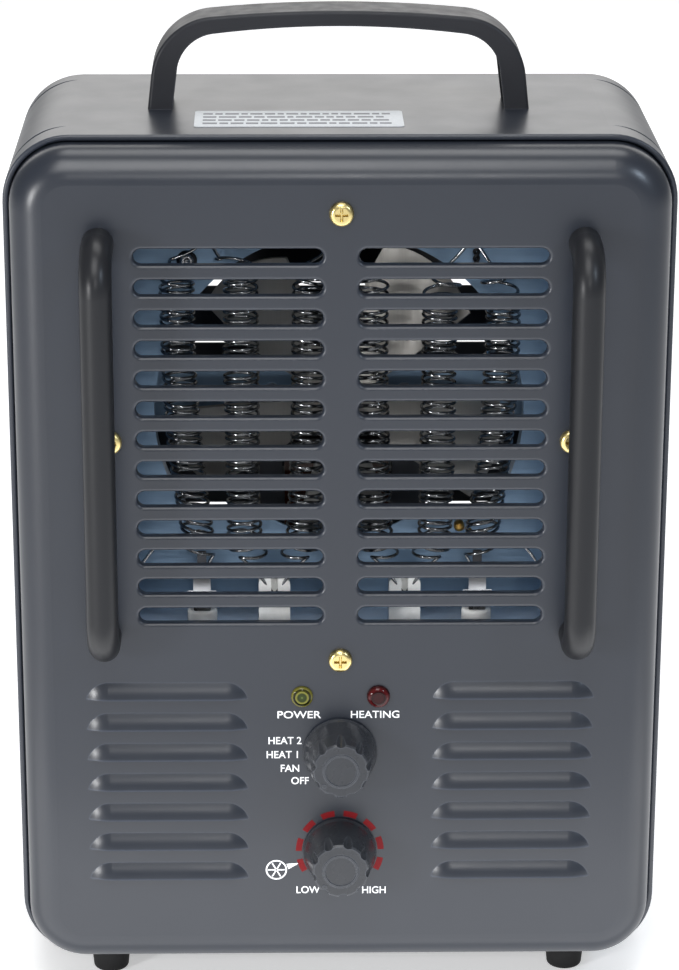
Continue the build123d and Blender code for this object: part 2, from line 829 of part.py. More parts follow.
with BuildPart() as thermal_cutout:
    with BuildSketch(Plane.XY.offset(duct_top_z + duct_t)):
        with Locations((38, face_y + 20)):
            Circle(8)
    extrude(amount=5)
    with BuildSketch(Plane.XY.offset(duct_top_z + duct_t)):
        with Locations((38, face_y + 20)):
            Rectangle(26, 7)
    extrude(amount=0.8)
finish(thermal_cutout.part, "thermal_cutout")

with BuildPart() as thermal_fuse:
    with BuildSketch(side_plane(-44)):
        with Locations((20, duct_top_z + duct_t + 2.1)):
            Circle(2.0)
    extrude(amount=14)
    with BuildSketch(side_plane(-56)):
        with Locations((20, duct_top_z + duct_t + 2.1)):
            Circle(0.6)
    extrude(amount=38)
finish(thermal_fuse.part, "thermal_fuse")

# ---- motor bracket, motor and fan ----
strap_depth = 62.0
strap_t = 1.6
bolt_x = 25.0
motor_shaft_r = 2.0
bearing_r = 5.0
boss_r = 8.5
stator_front = 72.0
stator_rear = 92.0
rear_strap_depth = 99.0
leg_x = 82.0

with BuildPart() as motor_bracket:
    with BuildSketch(front_plane(strap_depth)):
        with Locations((0, motor_axis_z)):
            Rectangle(2 * leg_x, 22)
            Circle(8.8, mode=Mode.SUBTRACT)
        with Locations((-bolt_x, motor_axis_z), (bolt_x, motor_axis_z)):
            Circle(2.1, mode=Mode.SUBTRACT)
    extrude(amount=-strap_t)
    with BuildSketch(Plane.XY.offset(motor_axis_z - 11)):
        for side in (-1, 1):
            leg_mid = (duct_rear + duct_t + strap_depth + strap_t) / 2
            with Locations((side * (leg_x - strap_t / 2), face_y + leg_mid)):
                Rectangle(strap_t, strap_depth + strap_t - duct_rear - duct_t)
            with Locations((side * (leg_x + 5), face_y + duct_rear + duct_t + strap_t / 2)):
                Rectangle(12, strap_t)
    extrude(amount=22)
finish(motor_bracket.part, "motor_bracket")


def bearing_bracket(strap_at, column_from, column_to, boss_from, boss_to):
    """Strap with a bearing boss and two spacer columns."""
    with BuildPart() as bracket:
        with BuildSketch(front_plane(strap_at)):
            with Locations((0, motor_axis_z)):
                SlotOverall(66, 15)
        extrude(amount=-strap_t)
        with BuildSketch(front_plane(boss_from)):
            with Locations((0, motor_axis_z)):
                Circle(boss_r)
        extrude(amount=-(boss_to - boss_from))
        with BuildSketch(front_plane(column_from)):
            with Locations((-bolt_x, motor_axis_z), (bolt_x, motor_axis_z)):
                Circle(4)
        extrude(amount=-(column_to - column_from))
        with BuildSketch(front_plane(strap_at - 12)):
            with Locations((0, motor_axis_z)):
                Circle(bearing_r)
            with Locations((-bolt_x, motor_axis_z), (bolt_x, motor_axis_z)):
                Circle(2.1)
        extrude(amount=-30, mode=Mode.SUBTRACT)
    return bracket.part


front_strap = strap_depth + strap_t
finish(
    bearing_bracket(front_strap, front_strap, stator_front, front_strap, front_strap + 7),
    "front_bearing_bracket",
)
finish(
    bearing_bracket(rear_strap_depth, stator_rear, rear_strap_depth, rear_strap_depth - 5.4, 100.6),
    "rear_bearing_bracket",
)


def bearing(depth, length):
    """Plain sintered bearing pressed into a boss."""
    with BuildPart() as bush:
        with BuildSketch(front_plane(depth)):
            with Locations((0, motor_axis_z)):
                Circle(bearing_r)
                Circle(motor_shaft_r + running_gap, mode=Mode.SUBTRACT)
        extrude(amount=-length)
    return bush.part


finish(bearing(front_strap, 7), "front_bearing")
finish(bearing(rear_strap_depth - 5.4, 7), "rear_bearing")

with BuildPart() as stator_core:
    with BuildSketch(front_plane(stator_front)):
        with Locations((0, motor_axis_z - 12)):
            RectangleRounded(68, 82, 2)
        with Locations((0, motor_axis_z)):
            Circle(12.6, mode=Mode.SUBTRACT)
        with Locations((0, motor_axis_z - 29)):
            Rectangle(42, 20, mode=Mode.SUBTRACT)
        with Locations((-bolt_x, motor_axis_z), (bolt_x, motor_axis_z)):
            Circle(2.1, mode=Mode.SUBTRACT)
    extrude(amount=-(stator_rear - stator_front))
finish(stator_core.part, "stator_core")

with BuildPart() as field_winding:
    with BuildSketch(Plane.YZ.offset(-20)):
        with Locations((face_y + (stator_front + stator_rear) / 2, motor_axis_z - 46)):
            RectangleRounded(34, 26, 4)
            Rectangle(20.2, 14.2, mode=Mode.SUBTRACT)
    extrude(amount=40)
finish(field_winding.part, "field_winding")

motor_bolt = cross_screw(2.0, 40.0, 3.4, 1.6)
with BuildPart() as motor_bolts:
    for side in (-1, 1):
        add(motor_bolt.moved(Location((side * bolt_x, face_y + strap_depth, motor_axis_z))))
    with BuildSketch(front_plane(rear_strap_depth + strap_t)):
        with Locations((-bolt_x, motor_axis_z), (bolt_x, motor_axis_z)):
            RegularPolygon(radius=3.9, side_count=6)
    extrude(amount=-2.6)
finish(motor_bolts.part, "motor_bolts")

with BuildPart() as rotor_core:
    with BuildSketch(front_plane(stator_front + 1)):
        with Locations((0, motor_axis_z)):
            Circle(12.1)
            Circle(motor_shaft_r, mode=Mode.SUBTRACT)
    extrude(amount=-(stator_rear - stator_front - 2))
finish(rotor_core.part, "rotor_core")

with BuildPart() as motor_shaft:
    with BuildSketch(front_plane(39)):
        with Locations((0, motor_axis_z)):
            Circle(motor_shaft_r)
    extrude(amount=-64)
    chamfer(motor_shaft.faces().sort_by(Axis.Y)[0].edges(), length=0.4)
finish(motor_shaft.part, "motor_shaft")

fan_r = 64.0
blade_count = 5
blade_depth = 49.0
blade_pitch = 28.0
with BuildPart() as blade:
    tilt = math.radians(blade_pitch)
    blade_plane = Plane(
        origin=(0, face_y + blade_depth, motor_axis_z),
        x_dir=(1, 0, 0),
        z_dir=(0, -math.cos(tilt), math.sin(tilt)),
    )
    with BuildSketch(blade_plane) as blade_outline:
        with BuildLine():
            Polyline((9, -5), (9, 5))
            Spline((9, 5), (30, 17), (56, 24))
            ThreePointArc((56, 24), (fan_r - 1.5, 4), (58, -18))
            Spline((58, -18), (34, -12), (9, -5))
        make_face()
    extrude(amount=0.6, both=True)

with BuildPart() as fan_blades:
    with BuildSketch(front_plane(blade_depth - 0.6)):
        with Locations((0, motor_axis_z)):
            Circle(15)
    extrude(amount=-1.2)
    spin_axis = Axis((0, 0, motor_axis_z), (0, 1, 0))
    for index in range(blade_count):
        add(blade.part.rotate(spin_axis, 20 + index * 360 / blade_count))
    with BuildSketch(front_plane(blade_depth - 20)):
        with Locations((0, motor_axis_z)):
            Circle(motor_shaft_r + 4)
    extrude(amount=-40, mode=Mode.SUBTRACT)
finish(fan_blades.part, "fan_blades")

with BuildPart() as fan_collar:
    with BuildSketch(front_plane(blade_depth - 5)):
        with Locations((0, motor_axis_z)):
            Circle(motor_shaft_r + 4)
            Circle(motor_shaft_r, mode=Mode.SUBTRACT)
    extrude(amount=-12)
    with BuildSketch(front_plane(blade_depth + 0.6)):
        with Locations((0, motor_axis_z)):
            Circle(9)
            Circle(motor_shaft_r + 4, mode=Mode.SUBTRACT)
    extrude(amount=-1.2)
finish(fan_collar.part, "fan_collar")

# ---- tip-over switch on the case floor ----
tip_x = 66.0
tip_z = 62.0
tip_front = 62.0
tip_rear = 84.0
floor_inside = foot_h + sheet
with BuildPart() as tip_bracket:
    with BuildSketch(Plane.XY.offset(floor_inside)):
        with Locations((tip_x, face_y + (tip_front + tip_rear) / 2)):
            Rectangle(22, tip_rear - tip_front + 2.4)
    extrude(amount=1.2)
    with BuildSketch(Plane.XY.offset(floor_inside)):
        for depth in (tip_front - 0.6, tip_rear + 0.6):
            with Locations((tip_x, face_y + depth)):
                Rectangle(22, 1.2)
    extrude(amount=tip_z + 6 - floor_inside)
    with BuildSketch(front_plane(tip_front - 3)):
        with Locations((tip_x, tip_z)):
            Circle(1.5)
    extrude(amount=-40, mode=Mode.SUBTRACT)
finish(tip_bracket.part, "tip_bracket")

with BuildPart() as tip_pin:
    with BuildSketch(front_plane(tip_front - 2.5)):
        with Locations((tip_x, tip_z)):
            Circle(1.5)
    extrude(amount=-(tip_rear - tip_front + 5))
finish(tip_pin.part, "tip_pin")

with BuildPart() as tip_pendulum:
    with BuildSketch(front_plane(tip_front + 8)):
        with Locations((tip_x, tip_z)):
            Circle(4)
        with Locations((tip_x, tip_z - 12)):
            Rectangle(3, 22)
    extrude(amount=-4)
    with BuildSketch(front_plane(tip_front + 4)):
        with Locations((tip_x, tip_z - 28)):
            Circle(8)
    extrude(amount=-12)
    with BuildSketch(front_plane(tip_front)):
        with Locations((tip_x, tip_z)):
            Circle(1.5 + running_gap)
    extrude(amount=-24, mode=Mode.SUBTRACT)
finish(tip_pendulum.part, "tip_pendulum")

with BuildPart() as tip_microswitch:
    with BuildSketch(Plane.XY.offset(tip_z + 12)):
        with Locations((tip_x, face_y + (tip_front + tip_rear) / 2)):
            Rectangle(20, tip_rear - tip_front + 2.4)
    extrude(amount=10)
    with BuildSketch(Plane.XY.offset(tip_z + 6)):
        for depth in (tip_front - 0.6, tip_rear + 0.6):
            with Locations((tip_x, face_y + depth)):
                Rectangle(18, 1.2)
    extrude(amount=6)
finish(tip_microswitch.part, "tip_microswitch")
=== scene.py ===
"""Looks of the utility fan heater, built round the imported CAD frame. Metres, +Z up, front towards -Y."""
import math
import random

import bmesh
import bpy
from mathutils import Matrix, Vector


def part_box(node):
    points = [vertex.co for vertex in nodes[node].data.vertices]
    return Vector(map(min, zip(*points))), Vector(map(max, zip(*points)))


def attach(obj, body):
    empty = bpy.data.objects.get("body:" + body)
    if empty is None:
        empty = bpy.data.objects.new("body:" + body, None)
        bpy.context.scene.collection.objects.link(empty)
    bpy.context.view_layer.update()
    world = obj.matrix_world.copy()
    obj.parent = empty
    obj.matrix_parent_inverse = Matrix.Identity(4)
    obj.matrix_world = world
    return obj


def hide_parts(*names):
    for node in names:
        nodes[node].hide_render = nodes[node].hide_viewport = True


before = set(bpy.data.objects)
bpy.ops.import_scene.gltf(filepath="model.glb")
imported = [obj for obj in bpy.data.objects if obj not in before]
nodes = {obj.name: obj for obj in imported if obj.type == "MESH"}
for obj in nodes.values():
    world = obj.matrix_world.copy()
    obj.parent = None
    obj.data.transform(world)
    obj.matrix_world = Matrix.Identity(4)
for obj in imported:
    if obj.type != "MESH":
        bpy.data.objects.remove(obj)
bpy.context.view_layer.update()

scene = bpy.context.scene
MM = 0.001


# ---------------------------------------------------------------- places read from the frame
def middle(node):
    """Centre of a CAD node's box."""
    low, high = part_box(node)
    return (low + high) / 2


case_low, case_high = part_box("case_wrap")
coil_low, coil_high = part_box("heating_coils")
hook_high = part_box("bottom_hook_insulators")[1]
top_low, top_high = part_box("top_hook_insulators")
post_low, post_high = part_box("terminal_posts")
shroud_front_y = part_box("fan_shroud")[0].y
plate_low, plate_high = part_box("rating_plate")
selector_axis = middle("selector_knob")
dial_axis = middle("thermostat_knob")
power_at = middle("power_lens")
caution_at = middle("caution_lens")
FACE_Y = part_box("selector_nut")[1].y  # the nut is clamped against the front panel's flat face


# ---------------------------------------------------------------- shader helpers
# Painted highlight along sharp edges: bevel samples, and the likeness of normals at which the lightening
# starts and is full.
EDGE_HIGHLIGHT_SAMPLES = 4
EDGE_HIGHLIGHT_STARTS, EDGE_HIGHLIGHT_FULL = 0.995, 0.9  # likeness of the rounded and the true normal


def srgb(r, g, b):
    """Linear RGBA of an 8-bit sRGB colour."""
    def lin(c):
        c /= 255
        return c / 12.92 if c <= 0.04045 else ((c + 0.055) / 1.055) ** 2.4
    return (lin(r), lin(g), lin(b), 1.0)


class Shader:
    """A material with its principled shader and short ways to add procedural detail."""

    def __init__(self, name, color, roughness, metallic=0.0, **sockets):
        self.material = bpy.data.materials.new(name)
        self.material.use_nodes = True
        self.tree = self.material.node_tree
        self.bsdf = self.tree.nodes["Principled BSDF"]
        self.color = color
        self.roughness = roughness
        self.coords = self.tree.nodes.new("ShaderNodeTexCoord")
        self.bsdf.inputs["Base Color"].default_value = color
        self.bsdf.inputs["Roughness"].default_value = roughness
        self.bsdf.inputs["Metallic"].default_value = metallic
        for socket, value in sockets.items():
            self.bsdf.inputs[socket].default_value = value
        self.height = None

    def link(self, source, target):
        """Joins an output to an input."""
        self.tree.links.new(source, target)

    def stretched(self, stretch):
        """Object coordinates scaled per axis."""
        mapping = self.tree.nodes.new("ShaderNodeMapping")
        mapping.inputs["Scale"].default_value = stretch
        self.link(self.coords.outputs["Object"], mapping.inputs["Vector"])
        return mapping.outputs["Vector"]

    def noise(self, scale, detail=3.0, stretch=(1, 1, 1), rough=0.5):
        """Fractal noise in object space, 0 to 1."""
        node = self.tree.nodes.new("ShaderNodeTexNoise")
        node.inputs["Scale"].default_value = scale
        node.inputs["Detail"].default_value = detail
        node.inputs["Roughness"].default_value = rough
        self.link(self.stretched(stretch), node.inputs["Vector"])
        return node.outputs["Fac"]

    def ramp(self, fac, low, high, low_at=0.3, high_at=0.7):
        """Maps fac onto two colours or two grey levels."""
        node = self.tree.nodes.new("ShaderNodeValToRGB")
        first, second = node.color_ramp.elements
        first.position, second.position = low_at, high_at
        first.color = low if hasattr(low, "__len__") else (low, low, low, 1)
        second.color = high if hasattr(high, "__len__") else (high, high, high, 1)
        self.link(fac, node.inputs["Fac"])
        return node.outputs["Color"]

    def vary_color(self, fac, spread, low_at=0.3, high_at=0.7):
        """Lets the base colour drift by a share of itself."""
        low = tuple(c * (1 - spread) for c in self.color[:3]) + (1,)
        high = tuple(min(1.0, c * (1 + spread)) for c in self.color[:3]) + (1,)
        self.link(self.ramp(fac, low, high, low_at, high_at), self.bsdf.inputs["Base Color"])
        return self

    def vary_roughness(self, fac, spread, low_at=0.3, high_at=0.7):
        """Lets the roughness drift by a share of itself."""
        low, high = self.roughness * (1 - spread), min(1.0, self.roughness * (1 + spread))
        self.link(self.ramp(fac, low, high, low_at, high_at), self.bsdf.inputs["Roughness"])
        return self

    def painted_edge_highlight(self, reach, lighten):
        """Paints a highlight on sharp edges: lightens the base colour where the surface turns sharply within
        reach, in metres.
        """
        rounded = self.tree.nodes.new("ShaderNodeBevel")
        rounded.samples = EDGE_HIGHLIGHT_SAMPLES
        rounded.inputs["Radius"].default_value = reach
        true_normal = self.tree.nodes.new("ShaderNodeNewGeometry")
        alike = self.tree.nodes.new("ShaderNodeVectorMath")
        alike.operation = "DOT_PRODUCT"
        self.link(rounded.outputs["Normal"], alike.inputs[0])
        self.link(true_normal.outputs["Normal"], alike.inputs[1])
        turn = self.tree.nodes.new("ShaderNodeMapRange")
        turn.inputs["From Min"].default_value = EDGE_HIGHLIGHT_STARTS
        turn.inputs["From Max"].default_value = EDGE_HIGHLIGHT_FULL
        self.link(alike.outputs["Value"], turn.inputs["Value"])
        mix = self.tree.nodes.new("ShaderNodeMix")
        mix.data_type = "RGBA"
        self.link(turn.outputs["Result"], mix.inputs["Factor"])
        color_in = self.bsdf.inputs["Base Color"]
        self.link(color_in.links[0].from_socket, mix.inputs["A"])
        mix.inputs["B"].default_value = tuple(min(1.0, c * lighten) for c in self.color[:3]) + (1,)
        self.link(mix.outputs["Result"], color_in)
        return self

    def bump(self, fac, strength, distance):
        """Stacks one more bump layer on the surface. distance is in metres."""
        node = self.tree.nodes.new("ShaderNodeBump")
        node.inputs["Strength"].default_value = strength
        node.inputs["Distance"].default_value = distance
        self.link(fac, node.inputs["Height"])
        if self.height is not None:
            self.link(self.height, node.inputs["Normal"])
        self.height = node.outputs["Normal"]
        self.link(self.height, self.bsdf.inputs["Normal"])
        return self


# ---------------------------------------------------------------- materials
LENS_REACH = 5.0  # mm from a lens's centre that its rings are spread over


def powder_coat(name, color, roughness, peel=0.05, shine=0.5, edge_highlight=3.0):
    """Baked semi-gloss paint with a slight orange peel and a painted highlight lightening its edges."""
    shader = Shader(name, color, roughness, **{"Specular IOR Level": shine})
    shader.vary_color(shader.noise(14, 4), 0.035)
    shader.vary_roughness(shader.noise(60, 5), 0.07)
    # painted highlight along the sharp edges
    shader.painted_edge_highlight(1.2 * MM, edge_highlight)
    shader.bump(shader.noise(900, 2), peel, 0.0002)
    shader.bump(shader.noise(2600, 2), peel * 0.7, 0.00008)
    return shader.material


def moulded(name, color, roughness, grain=0.25, shine=0.45):
    """Injection-moulded plastic with a fine spark-eroded grain and a painted highlight lightening its edges.
    """
    shader = Shader(name, color, roughness, **{"Specular IOR Level": shine})
    shader.vary_color(shader.noise(40, 4), 0.08)
    shader.vary_roughness(shader.noise(180, 4), 0.15)
    # painted highlight along the sharp edges
    shader.painted_edge_highlight(0.7 * MM, 2.6)
    shader.bump(shader.noise(2400, 3), grain, 0.00012)
    return shader.material


def rolled_metal(name, color, roughness, stretch=(1, 1, 30), marks=0.3, metallic=1.0):
    """Rolled or plated sheet with faint directional lines and blotches."""
    shader = Shader(name, color, roughness, metallic=metallic)
    shader.vary_color(shader.noise(35, 5), 0.10)
    shader.vary_roughness(shader.noise(90, 4, stretch), marks)
    shader.bump(shader.noise(500, 3, stretch), 0.12, 0.00006)
    return shader.material


def rubber(name, color):
    """Matt moulded rubber with a fine uneven skin."""
    shader = Shader(name, color, 0.78, **{"Specular IOR Level": 0.3})
    shader.vary_color(shader.noise(120, 4), 0.2)
    shader.bump(shader.noise(1500, 4), 0.4, 0.0002)
    return shader.material


def steatite(name, color):
    """Unglazed technical ceramic: chalky, slightly mottled, with tiny pits."""
    shader = Shader(name, color, 0.62)
    shader.vary_color(shader.noise(260, 5), 0.07)
    shader.vary_roughness(shader.noise(120, 3), 0.15)
    shader.bump(shader.noise(1400, 4), 0.35, 0.00015)
    return shader.material


def lens_with_painted_rings(name, centre, tint_and_painted_light_rings):
    """Clear moulded plastic over a dark cup, coloured in rings: the tint, with lighter rings as painted
    highlights and darker rings as painted shade on the lens's steps. Its rings are (radius in mm, colour)
    steps out from the centre.
    """
    shader = Shader(name, tint_and_painted_light_rings[0][1], 0.06, **{"Specular IOR Level": 0.22, "Coat Weight": 0.05})
    shader.bsdf.inputs["Coat Roughness"].default_value = 0.03
    distance = shader.tree.nodes.new("ShaderNodeVectorMath")
    distance.operation = "DISTANCE"
    flat = shader.tree.nodes.new("ShaderNodeVectorMath")
    flat.operation = "MULTIPLY"
    flat.inputs[1].default_value = (1, 0, 1)
    shader.link(shader.coords.outputs["Object"], flat.inputs[0])
    shader.link(flat.outputs["Vector"], distance.inputs[0])
    distance.inputs[1].default_value = (centre.x, 0, centre.z)
    steps = shader.tree.nodes.new("ShaderNodeMapRange")
    steps.inputs["From Max"].default_value = LENS_REACH * MM
    shader.link(distance.outputs["Value"], steps.inputs["Value"])
    ramp = shader.tree.nodes.new("ShaderNodeValToRGB")
    elements = ramp.color_ramp.elements
    elements[0].position, elements[0].color = tint_and_painted_light_rings[0][0] / LENS_REACH, tint_and_painted_light_rings[0][1]
    elements[1].position, elements[1].color = tint_and_painted_light_rings[-1][0] / LENS_REACH, tint_and_painted_light_rings[-1][1]
    for radius, color in tint_and_painted_light_rings[1:-1]:
        elements.new(radius / LENS_REACH).color = color
    shader.link(steps.outputs["Result"], ramp.inputs["Fac"])
    shader.link(ramp.outputs["Color"], shader.bsdf.inputs["Base Color"])
    shader.vary_roughness(shader.noise(900, 2), 0.4)
    shader.bump(shader.noise(420, 1), 0.1, 0.0002)
    return shader.material


def oxidised_wire(name):
    """Blackened resistance wire with brighter rubbed streaks."""
    shader = Shader(name, srgb(150, 152, 154), 0.16, metallic=1.0)
    shader.vary_color(shader.noise(420, 4), 0.35)
    shader.vary_roughness(shader.noise(260, 3), 0.35)
    shader.bump(shader.noise(1800, 3), 0.2, 0.00005)
    return shader.material


def laminations(name):
    """Stacked sheet steel, with the sheets' edges across the depth."""
    shader = Shader(name, srgb(96, 98, 102), 0.5, metallic=0.8)
    sheets = shader.tree.nodes.new("ShaderNodeTexWave")
    sheets.wave_type, sheets.bands_direction = "BANDS", "Y"
    sheets.inputs["Scale"].default_value = 320
    shader.link(shader.coords.outputs["Object"], sheets.inputs["Vector"])
    shader.vary_color(shader.noise(90, 4), 0.18)
    shader.bump(sheets.outputs["Fac"], 0.5, 0.0002)
    return shader.material


def copper_turns(name):
    """Enamelled copper winding: fine parallel turns round the leg."""
    shader = Shader(name, srgb(84, 40, 20), 0.4, metallic=0.6)
    turns = shader.tree.nodes.new("ShaderNodeTexWave")
    turns.wave_type, turns.bands_direction = "BANDS", "X"
    turns.inputs["Scale"].default_value = 450
    turns.inputs["Distortion"].default_value = 0.6
    shader.link(shader.coords.outputs["Object"], turns.inputs["Vector"])
    shader.vary_color(shader.noise(160, 4), 0.2)
    shader.bump(turns.outputs["Fac"], 0.8, 0.0003)
    return shader.material


def print_ink(name, color):
    """Screen-printed ink, a touch uneven."""
    shader = Shader(name, color, 0.5, **{"Specular IOR Level": 0.2})
    shader.vary_color(shader.noise(900, 3), 0.05)
    shader.bump(shader.noise(2500, 2), 0.1, 0.00005)
    return shader.material


PAINT = powder_coat("case_paint", srgb(35, 39, 47), 0.31)
# guard bars: a fainter painted edge highlight
BAR_PAINT = powder_coat("bar_paint", srgb(27, 28, 31), 0.36, peel=0.05, shine=0.28, edge_highlight=1.5)
HANDLE_PLASTIC = moulded("handle_plastic", srgb(36, 37, 41), 0.42, grain=0.10, shine=0.22)
KNOB_PLASTIC = moulded("knob_plastic", srgb(46, 48, 52), 0.28, grain=0.04, shine=0.34)
FOOT_RUBBER = rubber("foot_rubber", srgb(30, 30, 31))
BLACK_PLASTIC = moulded("black_plastic", srgb(28, 28, 30), 0.45)
YELLOW_ZINC = rolled_metal("yellow_zinc", srgb(220, 200, 138), 0.28, (1, 1, 1), 0.25)
ZINC = rolled_metal("bright_zinc", srgb(190, 191, 194), 0.3, (1, 1, 1), 0.3)
DUCT_METAL = rolled_metal("aluminised_sheet", srgb(134, 160, 186), 0.42, metallic=0.65)
# Duct floor: a lighter copy of the duct sheet, with painted light where more light reaches it.
DUCT_FLOOR_PAINTED_LIT = rolled_metal("aluminised_floor_painted_lit", srgb(206, 220, 236), 0.5, metallic=0.3)
FAN_METAL = rolled_metal("fan_sheet", srgb(176, 173, 168), 0.45, (20, 1, 1), metallic=0.6)
FOIL = print_ink("plate_film", srgb(198, 201, 204))
STEATITE = steatite("steatite", srgb(246, 246, 244))
PHENOLIC = steatite("phenolic_body", srgb(196, 186, 168))
BRONZE = rolled_metal("sintered_bronze", srgb(168, 128, 84), 0.45, (1, 1, 1))
SHAFT_STEEL = rolled_metal("ground_steel", srgb(200, 200, 202), 0.2, (1, 30, 1))
WIRE = oxidised_wire("nichrome_wire")
DARK_STEEL = rolled_metal("dark_steel", srgb(60, 61, 64), 0.35, (1, 1, 1))
BRIGHT_WIRE = rolled_metal("bright_wire", srgb(205, 206, 208), 0.22, (1, 1, 1))
BRASS = rolled_metal("brass", srgb(200, 160, 88), 0.3, (1, 1, 1))
SLEEVE = moulded("lead_sleeve", srgb(24, 24, 26), 0.42)
LAMINATION = laminations("motor_laminations")
COPPER = copper_turns("copper_winding")
# Lens colours: the tint, with lighter rings painted in as highlights and darker rings painted in as shade in
# the groove.
POWER_LENS_PAINTED_RINGS = lens_with_painted_rings("power_tint_painted_rings", power_at, (
    (0.0, srgb(96, 110, 60)), (0.5, srgb(46, 58, 16)), (1.6, srgb(34, 44, 12)),
    (2.0, srgb(104, 104, 36)), (2.4, srgb(118, 116, 52)), (2.8, srgb(26, 30, 10)),
    (3.2, srgb(34, 36, 12)), (3.6, srgb(104, 100, 40)), (4.3, srgb(66, 64, 26)),
))
CAUTION_LENS_PAINTED_RINGS = lens_with_painted_rings("caution_tint_painted_rings", caution_at, (
    (0.0, srgb(40, 8, 10)), (1.4, srgb(46, 8, 10)), (2.4, srgb(26, 5, 6)), (3.4, srgb(74, 18, 20)),
    (4.4, srgb(30, 8, 9)),
))
LAMP_GLASS = moulded("lamp_glass", srgb(214, 180, 150), 0.12, grain=0.02)
WHITE_INK = print_ink("white_ink", srgb(244, 245, 248))
RULE_INK = print_ink("rule_ink", srgb(116, 118, 122))
RED_INK = print_ink("red_ink", srgb(112, 5, 14))

FINISHES = {
    PAINT: ("case_wrap", "front_panel", "rear_panel"),
    BAR_PAINT: ("left_guard_bar", "right_guard_bar"),
    HANDLE_PLASTIC: ("carry_handle",),
    KNOB_PLASTIC: ("selector_knob", "thermostat_knob"),
    FOOT_RUBBER: ("front_left_foot", "front_right_foot", "rear_left_foot", "rear_right_foot"),
    BLACK_PLASTIC: ("cord_gland", "selector_switch", "tip_microswitch"),
    YELLOW_ZINC: ("panel_screws",),
    ZINC: (
        "rear_screws", "handle_screws", "foot_screws", "guard_bar_nuts", "motor_bolts",
        "selector_nut", "thermostat_nut", "terminal_posts", "lens_clips", "tip_pin",
        "thermal_cutout", "bimetal_blade",
    ),
    DUCT_METAL: (
        "duct_left_side", "duct_right_side", "duct_top", "fan_shroud", "motor_bracket",
        "front_bearing_bracket", "rear_bearing_bracket", "tip_bracket",
    ),
    DUCT_FLOOR_PAINTED_LIT: ("duct_floor",),
    FAN_METAL: ("fan_blades",),
    FOIL: ("rating_plate",),
    STEATITE: ("bottom_hook_insulators", "top_hook_insulators", "terminal_bushings"),
    PHENOLIC: ("thermostat_body", "thermal_fuse"),
    BRONZE: ("front_bearing", "rear_bearing", "fan_collar"),
    LAMINATION: ("stator_core", "rotor_core"),
    COPPER: ("field_winding",),
    SHAFT_STEEL: ("motor_shaft", "selector_shaft", "thermostat_shaft", "tip_pendulum"),
    POWER_LENS_PAINTED_RINGS: ("power_lens",),
    CAUTION_LENS_PAINTED_RINGS: ("caution_lens",),
    LAMP_GLASS: ("power_lamp", "caution_lamp"),
}
for material, names in FINISHES.items():
    for name in names:
        mesh = nodes[name].data
        mesh.materials.clear()
        mesh.materials.append(material)


# ---------------------------------------------------------------- making pieces
def add_piece(obj, body, material):
    """Links a new piece, gives it its material and lets it ride on a body."""
    if obj.name not in scene.collection.objects:
        scene.collection.objects.link(obj)
    obj.data.materials.append(material)
    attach(obj, body)
    return obj


def wire_curve(name, points, radius, resolution=3):
    """A round wire along a list of points."""
    curve = bpy.data.curves.new(name, "CURVE")
    curve.dimensions = "3D"
    curve.bevel_depth = radius
    curve.bevel_resolution = resolution
    curve.use_fill_caps = True
    spline = curve.splines.new("POLY")
    spline.points.add(len(points) - 1)
    for point, co in zip(spline.points, points):
        point.co = (co[0], co[1], co[2], 1)
    return bpy.data.objects.new(name, curve)


def flat_mesh(name, outlines, y, thickness):
    """Printed shapes on the front panel: each outline is a list of (x, z), raised by thickness."""
    mesh = bpy.data.meshes.new(name)
    bm = bmesh.new()
    for outline in outlines:
        back = [bm.verts.new((x, y, z)) for x, z in outline]
        front = [bm.verts.new((x, y - thickness, z)) for x, z in outline]
        count = len(outline)
        bm.faces.new(front)
        bm.faces.new(list(reversed(back)))
        for i in range(count):
            j = (i + 1) % count
            bm.faces.new((back[i], back[j], front[j], front[i]))
    bmesh.ops.recalc_face_normals(bm, faces=bm.faces)
    bm.to_mesh(mesh)
    bm.free()
    return bpy.data.objects.new(name, mesh)


# ---------------------------------------------------------------- heating element: six wound coils on hooks
WIRE_R = 0.6 * MM
COIL_R = 6.0 * MM
TURN_PITCH = 2.64 * MM
STEPS = 26  # points per turn
COIL_TOPS = (-58.7, -35.8, -11.0, 11.0, 35.8, 58.7)  # mm across, where each coil hangs
COIL_BOTTOMS = (-52.0, -35.0, -13.4, 13.4, 35.0, 52.0)  # mm across, where it is pulled to
COIL_HEADS = (1.6, 3.2, 1.2, 0.6, -3.4, -4.2)  # mm that its closed turns reach above the rest
OUTER_COIL = 45.0  # mm across; coils further out end on a terminal post, not on a hook
LEAN_CURVE = 2.4  # how soon a coil straightens above its foot
SWELL = 0.02  # share by which a coil's radius wanders
WAVER = 0.3 * MM  # uneven spacing of the turns
PULL_TILT = 1.5 * MM  # tilt of an outer coil's lowest turns
HEAD_RISE, HEAD_TURNS = 7.5 * MM, 1.25  # stretched turns at the top of every coil
POST_DROP, POST_TURNS = 7 * MM, 0.75  # stretched turns down to a terminal post
HOOK_TURNS = 1.6  # stretched turns down to a hook
OPEN_RING_Z = 173.5 * MM  # height that the turns above a hook drop to
coil_y = (coil_low.y + coil_high.y) / 2
coil_base_z = coil_low.z + 0.5 * MM
coil_head_z = coil_high.z - 0.5 * MM
hook_x = hook_high.x - 5.8 * MM
hook_z = hook_high.z - 6 * MM
hook_loop_r = 0.9 * MM
top_hook_x = top_high.x - 5.0 * MM
top_hook_y = coil_y + 3 * MM
top_hook_z = top_low.z + 1.5 * MM
top_loop_r = 1.1 * MM
post_x = post_high.x - 3.2 * MM


